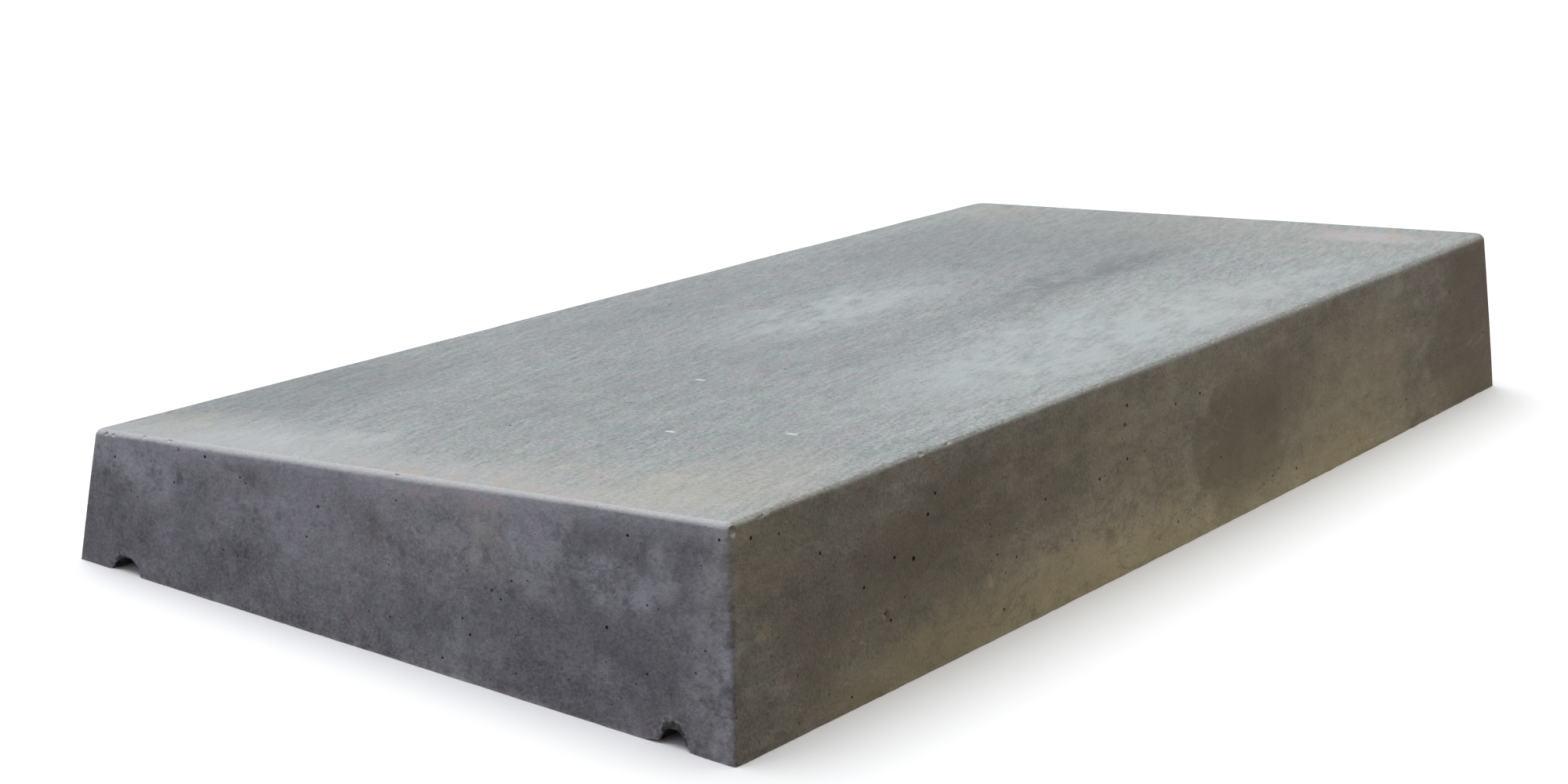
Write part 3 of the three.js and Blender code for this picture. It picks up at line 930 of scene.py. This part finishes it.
class Balls:
    """A mesh of separate closed balls, in millimetres, for cutting holes and nicks."""

    def __init__(self):
        self.points, self.faces = [], []

    def add(self, place, outward, radius, depth, lumps=0.0, segments=8):
        """Adds a ball, squashed to depth along outward, with lumps on its surface."""
        rings = segments // 2
        heights = [math.cos(math.pi * ring / rings) for ring in range(1, rings)]
        unit = [(0, 0, 1)]
        for height in heights:
            reach = math.sqrt(1 - height**2)
            for step in range(segments):
                angle = 2 * math.pi * step / segments
                unit.append((reach * math.cos(angle), reach * math.sin(angle), height))
        unit.append((0, 0, -1))
        turned = np.array(outward.to_track_quat("Z", "Y").to_matrix())
        points = np.array(unit) * (radius, radius, depth) @ turned.T
        points *= 1 + lumps * smooth_noise((points + np.array(place)) / (0.8 * radius))[:, None]
        first = len(self.points)
        self.points += (points + np.array(place)).tolist()
        last = first + len(unit) - 1
        for ring in range(rings - 2):
            low = first + 1 + ring * segments
            for step in range(segments):
                after = (step + 1) % segments
                self.faces.append((low + step, low + segments + step, low + segments + after, low + after))
        for step in range(segments):
            after = (step + 1) % segments
            bottom = last - segments
            self.faces.append((first, first + 1 + step, first + 1 + after))
            self.faces.append((last, bottom + after, bottom + step))

    def piece(self, name, material):
        mesh = bpy.data.meshes.new(name)
        mesh.from_pydata(self.points, [], self.faces)
        mesh.materials.append(material)
        return new_object(name, mesh)


# The small air holes: for each face, the ranges of X and Y, the way in and how many there are.
HOLE_FACES = {
    "near end": ((-138, 140), (-320, -320), (0, 1, 0), 60),
    "far end": ((-138, 140), (320, 320), (0, -1, 0), 55),
    "thick side": ((170, 170), (-296, 296), (-1, 0, 0), 120),
    "thin side": ((-170, -170), (-296, 296), (1, 0, 0), 90),
    "underside": ((-140, 140), (-295, 295), (0, 0, 1), 70),
    "top": ((-135, 132), (-290, 290), (0, 0, -1), 14),
}

# The largest air holes on the two faces in view: X or Y, then Z, then the mouth's radius.
NEAR_END_HOLES = ((-31, 44.5, 0.62), (-36, 33, 0.4), (-69, 47, 0.4), (48, 33, 0.42), (52, 31, 0.4),
                  (60, 8, 0.4), (96, 32, 0.5), (102, 63, 0.5), (137, 69, 0.5), (4, 14, 0.36))
THICK_SIDE_HOLES = ((-290, 68, 0.6), (-276, 66, 0.42), (-215, 43.5, 0.55), (-204, 40.5, 0.8),
                    (-233, 38, 0.55), (-222, 26.5, 0.55), (-219, 23.5, 0.5), (-243, 4.5, 0.45),
                    (-150, 9, 0.5), (-59, 63, 0.6), (-21, 56, 0.55), (-60, 43, 0.65), (-81, 40, 0.6))


# The small nicks: for each arris, its two ends, the way in and how many there are.
ARRISES = (
    ((-130, -301, 51), (134, -300, 74), (0, 1, -1), 5),
    ((141, -292, 74), (141, 296, 74), (-1, 0, -1), 6),
    ((-145, -296, 50), (-145, 296, 50), (1, 0, -1), 6),
    ((-140, 301, 50), (138, 300, 74), (0, -1, -1), 5),
    ((150, -305, 3), (142, -300, 70), (-1, 1, 0), 2),
    ((-151, -305, 3), (-145, -301, 46), (1, 1, 0), 4),
    ((-105, -305, 0), (105, -305, 0), (0, 1, 1), 12),
    ((151, -298, 0), (151, 298, 0), (-1, 0, 1), 22),
)

# The larger nicks in view: place, way in and radius.
NICKS = (
    ((141.5, -299.5, 73.5), (-1, 1, -1), 1.5),
    ((142, -296, 73.5), (-1, 0.4, -1), 1.1),
    ((138.5, -300, 73.5), (-0.4, 1, -1), 0.9),
    ((-138, -302, 49.5), (0, 1, -0.6), 0.8),
    ((-134.5, -302, 49.8), (0, 1, -0.6), 0.6),
    ((142, -196, 75), (-1, 0, -1), 1.0),
)


class Finder:
    """Finds places on the casting's surface, and keeps the cutters at them apart."""

    def __init__(self, mesh):
        places = [vertex.co.copy() for vertex in mesh.vertices]
        self.surface = BVHTree.FromPolygons(places, [tuple(face.vertices) for face in mesh.polygons])
        self.taken = []

    def find(self, start, way, room):
        """The place and the surface's direction where a ray from start along way meets it, or None."""
        place, normal, _, _ = self.surface.ray_cast(Vector(start), Vector(way))
        if place is None or abs(normal.dot(Vector(way).normalized())) < 0.75:
            return None
        if any((place - other).length < room + other_room + 0.4 for other, other_room in self.taken):
            return None
        self.taken.append((place, room))
        return place, normal


def air_holes(finder, rng):
    """Closed balls at the surface, whose mouths are the small round holes that trapped air leaves."""
    cutters = Balls()

    def bore(start, way, mouth):
        found = finder.find(start, way, 1.6 * mouth)
        if not found:
            return
        place, normal = found
        radius = mouth * rng.uniform(1.02, 1.25)
        sunk = math.sqrt(radius**2 - mouth**2)
        segments = 10 if mouth > 0.38 else 8
        cutters.add(place - normal * sunk, normal, radius, radius * rng.uniform(0.9, 1.1), 0.2, segments)

    for x, z, mouth in NEAR_END_HOLES:
        bore((x, -320, z), (0, 1, 0), 1.2 * mouth)
    for y, z, mouth in THICK_SIDE_HOLES:
        bore((170, y, z), (-1, 0, 0), 1.2 * mouth)
    for name, (x_range, y_range, way, count) in HOLE_FACES.items():
        for _ in range(count):
            x = rng.uniform(*x_range)
            y = rng.uniform(*y_range)
            z = {"underside": -5, "top": 90}.get(name) or rng.uniform(3, 42 if name == "thin side" else 60)
            mouth = 0.2 + min(rng.expovariate(7.5), 0.6)
            bore((x, y, z), way, mouth)
    return cutters


def nicks(finder, rng):
    """Lumpy shallow balls along the arrises, which knock small nicks into them."""
    cutters = Balls()

    def knock(place, way, radius):
        way = Vector(way).normalized()
        found = finder.find(Vector(place) - 14 * way, way, 1.3 * radius)
        if found:
            cutters.add(found[0], found[1], radius, radius * rng.uniform(0.25, 0.45), 0.45, 12)

    for place, way, radius in NICKS:
        knock(place, way, radius)
    for start, end, way, count in ARRISES:
        for _ in range(count):
            place = Vector(start).lerp(Vector(end), rng.random())
            knock(place, way, rng.uniform(0.35, 0.8))
    return cutters


def build_casting():
    concrete = concrete_material()
    casting = Casting()
    mesh = bpy.data.meshes.new("casting")
    mesh.from_pydata(casting.points().tolist(), [], casting.faces)
    mesh.materials.append(concrete)
    roughen(mesh)
    piece = new_object("weathered_casting", mesh)
    finder = Finder(mesh)
    rng = random.Random(SEED)
    chipped_concrete = broken_material("chipped concrete", UMBER, BROKEN)
    # Painted shade: the air holes' walls are given dark colours.
    shaded_hole_concrete = broken_material("concrete inside a hole", RECESS_SHADE, UMBER)
    chipped = nicks(finder, rng).piece("nicks", chipped_concrete)
    holes = air_holes(finder, rng).piece("air holes", shaded_hole_concrete)
    cut_away(piece, chipped)
    cut_away(piece, holes)
    piece.data.transform(Matrix.Scale(MM, 4))
    cut_away(piece, cage_space(concrete))
    piece.data.polygons.foreach_set("use_smooth", [True] * len(piece.data.polygons))
    piece.data.set_sharp_from_angle(angle=SHARP_ANGLE)
    return piece


def paint(prefix, material):
    """Gives a material to every CAD node whose name starts with prefix."""
    for name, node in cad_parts.items():
        if name.startswith(prefix):
            node.data.materials.clear()
            node.data.materials.append(material)


set_camera()
set_lights()
set_surroundings()
add_floor()
bpy.context.scene.view_settings.view_transform = "Standard"

casting = build_casting()
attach(casting, "root")
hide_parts("concrete_casting")

steel = bar_material()
paint("long_bar", steel)
paint("cross_bar", steel)
paint("binding_wire", binding_wire_material())
paint("hanger_wire", hanger_wire_material())
